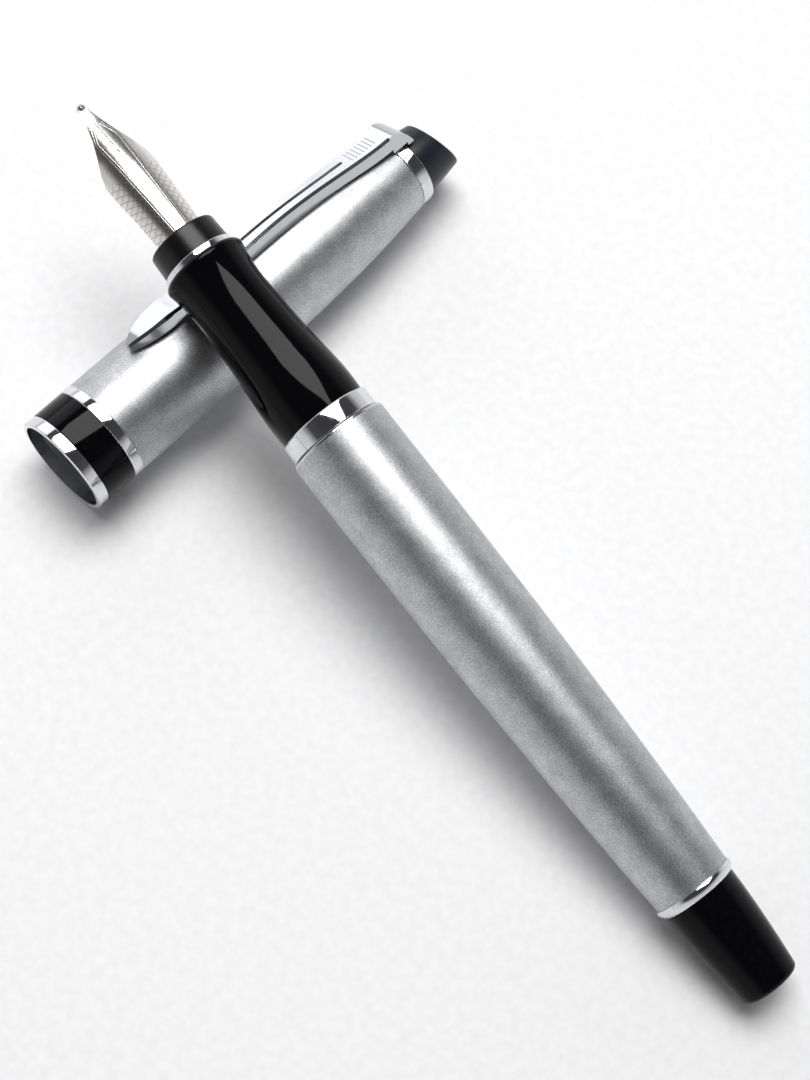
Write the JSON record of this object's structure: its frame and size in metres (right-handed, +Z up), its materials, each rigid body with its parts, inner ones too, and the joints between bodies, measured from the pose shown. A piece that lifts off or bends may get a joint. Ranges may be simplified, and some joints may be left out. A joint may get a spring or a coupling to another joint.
{
  "type": "fountain pen",
  "caption": "Uncapped fountain pen leaning across its own cap: satin barrel, gloss black grip, engraved nib, screw converter inside, cap with a sprung clip.",
  "frame": {"origin": "middle of the underside of the box round pen and cap, on the table", "axes": "+X from the nib towards the tail, +Y along the cap towards its crown, +Z up"},
  "size_m": [0.1228, 0.0636, 0.0246],
  "materials": {
    "satin_steel": "satin, fine blasted grain under clear lacquer",
    "chrome": "polished plating",
    "black_lacquer": "gloss black lacquer",
    "black_resin": "gloss black moulded resin",
    "black_plastic": "fine satin moulding",
    "dark_crown": "blue black, semi-matt",
    "liner_plastic": "plain moulding",
    "nib_steel": "polished stainless sheet, engraved",
    "tipping": "ground and polished hard alloy",
    "brass": "turned brass",
    "plated_brass": "nickel-plated brass",
    "plain_steel": "turned steel",
    "clear_plastic": "clear moulding",
    "seal_rubber": "soft black rubber"
  },
  "bodies": {
    "cap": {"cap_shell": "satin_steel", "cap_lip_ring": "chrome", "cap_band": "black_lacquer", "cap_trim_ring": "chrome", "inner_cap": "liner_plastic", "clip_ring": "chrome", "cap_crown": "dark_crown", "crown_screw": "plain_steel"},
    "clip": {"clip": "chrome"},
    "section": {"grip_section": "black_resin", "section_front_ring": "chrome", "nib_collar": "black_plastic", "nib": "nib_steel", "nib_tip": "tipping", "feed": "black_plastic", "feed_pipe": "black_plastic", "thread_bush": "brass"},
    "joint_ring": {"joint_ring": "chrome"},
    "barrel": {"barrel_tube": "satin_steel", "barrel_insert": "plated_brass", "tail_ring": "chrome", "tail_end": "black_lacquer", "tail_plug": "brass"},
    "converter": {"converter_tube": "clear_plastic", "converter_collar": "chrome", "converter_sleeve": "chrome", "converter_guide": "black_plastic"},
    "knob": {"converter_knob": "black_plastic"},
    "piston": {"piston_rod": "black_plastic", "piston_head": "liner_plastic", "piston_seals": "seal_rubber"}
  },
  "joints": [
    {"name": "pen_lift", "type": "slide", "parent": "clip", "child": "section", "axis": [0, 0, 1], "range_m": [0, 0.06]},
    {"name": "clip_flex", "type": "hinge", "parent": "cap", "child": "clip", "pos_m": [-0.04215, 0.02559, 0.0104], "axis": [-0.8894, -0.0998, -0.4462], "range_deg": [0, 3], "stiffness_Nm_per_rad": 2},
    {"name": "ring_turn", "type": "hinge", "parent": "section", "child": "joint_ring", "pos_m": [-0.01442, -0.00648, 0.01573], "axis": [0.987, 0, -0.1604], "range_deg": [0, 2880]},
    {"name": "barrel_draw", "type": "slide", "parent": "joint_ring", "child": "barrel", "axis": [0.987, 0, -0.1604], "range_m": [0, 0.075]},
    {"name": "converter_pull", "type": "slide", "parent": "section", "child": "converter", "axis": [0.987, 0, -0.1604], "range_m": [0, 0.006]},
    {"name": "knob_turn", "type": "hinge", "parent": "converter", "child": "knob", "pos_m": [0.02333, -0.00648, 0.00959], "axis": [0.987, 0, -0.1604], "range_deg": [0, 2040.5]},
    {"name": "piston_travel", "type": "slide", "parent": "converter", "child": "piston", "axis": [0.987, 0, -0.1604], "range_m": [0, 0.017]}
  ],
  "couplings": [
    {"joint": "knob_turn", "follows": "piston_travel", "rad_per_m": 2094.4}
  ]
}
